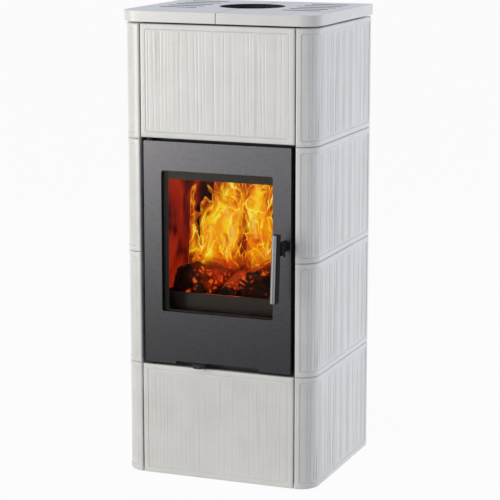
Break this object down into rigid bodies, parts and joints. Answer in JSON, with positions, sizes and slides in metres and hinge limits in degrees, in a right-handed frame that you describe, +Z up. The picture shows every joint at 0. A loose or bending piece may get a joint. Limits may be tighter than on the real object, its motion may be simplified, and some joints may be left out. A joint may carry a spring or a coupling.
{
  "type": "tiled stove",
  "caption": "Upright wood stove cased in pale glazed fluted tiles, with a glazed front door, slotted top slabs and a round flue outlet.",
  "frame": {"origin": "on the floor, at the middle of the outline in plan, handle included", "axes": "+Z up, the door faces -Y, +X is the door's handle side"},
  "size_m": [0.485, 0.488, 1.1],
  "materials": {
    "glaze": "off-white glaze, glossy, over fluted tiles",
    "door_paint": "anthracite stove paint, satin with fine metallic speckle",
    "black_paint": "black stove paint, matt",
    "bright_steel": "brushed stainless steel",
    "pan_steel": "zinc-coated sheet steel, dull",
    "cast_iron": "black cast iron, rough",
    "fireclay": "buff fireclay, matt, sooted by fire",
    "glass": "clear ceramic glass with a dark printed border",
    "seal_rope": "braided glass-fibre rope, dark grey"
  },
  "bodies": {
    "stove": {"side_tile_left_1": "glaze", "side_tile_left_2": "glaze", "side_tile_left_3": "glaze", "side_tile_left_4": "glaze", "side_tile_right_1": "glaze", "side_tile_right_2": "glaze", "side_tile_right_3": "glaze", "side_tile_right_4": "glaze", "front_tile_bottom": "glaze", "front_tile_top": "glaze", "top_slab_left": "glaze", "top_slab_right": "glaze", "base_plate": "black_paint", "foot_front_left": "black_paint", "foot_front_right": "black_paint", "foot_back_left": "black_paint", "foot_back_right": "black_paint", "front_plate": "black_paint", "body_side_left": "black_paint", "body_side_right": "black_paint", "body_back": "black_paint", "body_top": "black_paint", "flue_collar": "cast_iron", "tile_rail_left": "black_paint", "tile_rail_right": "black_paint", "rear_panel": "black_paint", "air_inlet_pipe": "black_paint", "firebrick_left": "fireclay", "firebrick_right": "fireclay", "firebrick_back": "fireclay", "baffle_plate": "fireclay", "hearth_plate": "black_paint", "hearth_brick_left": "fireclay", "hearth_brick_right": "fireclay", "hearth_brick_front": "fireclay", "hearth_brick_back": "fireclay", "grate": "cast_iron", "log_guard": "cast_iron", "ash_pan": "pan_steel", "ash_floor": "black_paint", "slide_rail_front": "black_paint", "slide_rail_back": "black_paint", "hinge_tongue_top": "black_paint", "hinge_tongue_bottom": "black_paint", "hinge_pin_top": "bright_steel", "hinge_pin_bottom": "bright_steel", "latch_keeper": "black_paint"},
    "door": {"door_panel": "door_paint", "door_glass": "glass", "glass_frame": "black_paint", "door_seal": "seal_rope", "handle_boss": "black_paint"},
    "handle": {"handle_spindle": "bright_steel", "handle_neck": "black_paint", "handle_grip_body": "black_paint", "handle_grip_strip": "bright_steel", "handle_pin": "black_paint", "latch_cam": "black_paint"},
    "air_control": {"air_lever": "black_paint"}
  },
  "joints": [
    {"name": "door_hinge", "type": "hinge", "parent": "stove", "child": "door", "pos_m": [-0.172, -0.14696, 0.538], "axis": [0, 0, -1], "range_deg": [0, 100]},
    {"name": "handle_turn", "type": "hinge", "parent": "door", "child": "handle", "pos_m": [0.168, -0.15996, 0.577], "axis": [0, -1, 0], "range_deg": [0, 60]},
    {"name": "air_slide", "type": "slide", "parent": "stove", "child": "air_control", "axis": [1, 0, 0], "range_m": [-0.037, 0.123]}
  ]
}
